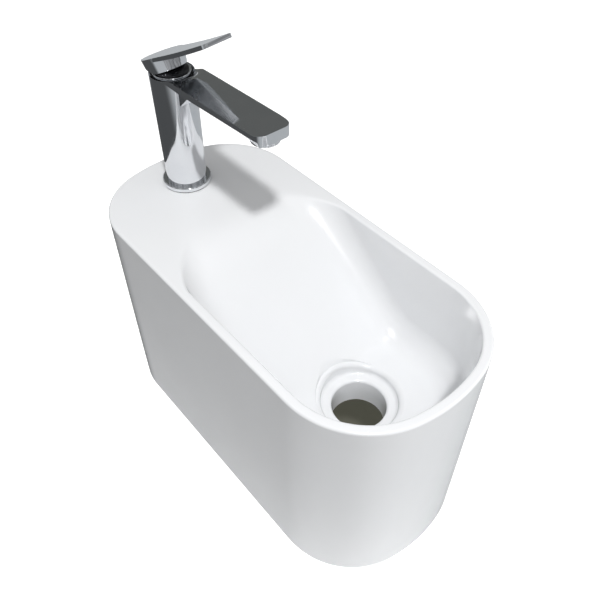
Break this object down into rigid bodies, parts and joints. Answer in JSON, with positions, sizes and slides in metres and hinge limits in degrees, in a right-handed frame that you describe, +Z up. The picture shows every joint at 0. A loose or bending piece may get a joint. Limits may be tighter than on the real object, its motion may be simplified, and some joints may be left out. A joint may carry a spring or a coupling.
{
  "type": "hand basin",
  "caption": "Narrow white glazed hand basin with a ramp-shaped bowl, an open waste hole and a chromed single-lever mixer on its deck.",
  "frame": {"origin": "middle of the basin's foot, in the plane it stands on", "axes": "+X from the tap to the waste hole, +Z up along the waste hole, +Y across the short side"},
  "size_m": [0.365, 0.175, 0.3628],
  "materials": {
    "glazed_ceramic": "gloss",
    "chrome": "polished",
    "brass": "machined",
    "black_plastic": "gloss",
    "white_plastic": "satin",
    "disc_ceramic": "lapped",
    "rubber": "matte",
    "steel": "brushed"
  },
  "bodies": {
    "fixed": {"basin_body": "glazed_ceramic", "tap_body": "chrome", "base_ring": "chrome", "base_seal": "rubber", "neck_ring": "black_plastic", "trim_ring": "chrome", "aerator_housing": "chrome", "aerator_insert": "white_plastic", "aerator_washer": "rubber", "cartridge_housing": "white_plastic", "cartridge_base": "white_plastic", "port_seals": "rubber", "fixed_disc": "disc_ceramic", "cartridge_nut": "brass", "housing_seal": "rubber", "fixing_stud": "brass", "fixing_gasket": "rubber", "fixing_washer": "steel", "fixing_nut": "brass"},
    "swivel": {"stem_guide": "white_plastic", "pivot_pin": "steel", "swivel_cover": "black_plastic"},
    "lever": {"lever": "chrome", "lever_stem": "brass", "grub_screw": "steel", "screw_plug": "chrome"},
    "disc": {"moving_disc": "disc_ceramic", "disc_carrier": "white_plastic"}
  },
  "joints": [
    {"name": "lever_swing", "type": "hinge", "parent": "fixed", "child": "swivel", "pos_m": [-0.1406, 0, 0.308], "axis": [0, 0, 1], "range_deg": [-52, 38]},
    {"name": "lever_lift", "type": "hinge", "parent": "swivel", "child": "lever", "pos_m": [-0.1406, 0, 0.308], "axis": [0.1219, -0.9925, 0], "range_deg": [-21.5, 2.5]},
    {"name": "disc_slide", "type": "slide", "parent": "swivel", "child": "disc", "axis": [0.9925, 0.1219, 0], "range_m": [-0.006, 0.0007]}
  ],
  "couplings": [
    {"joint": "disc_slide", "follows": "lever_lift", "m_per_rad": 0.01588}
  ]
}
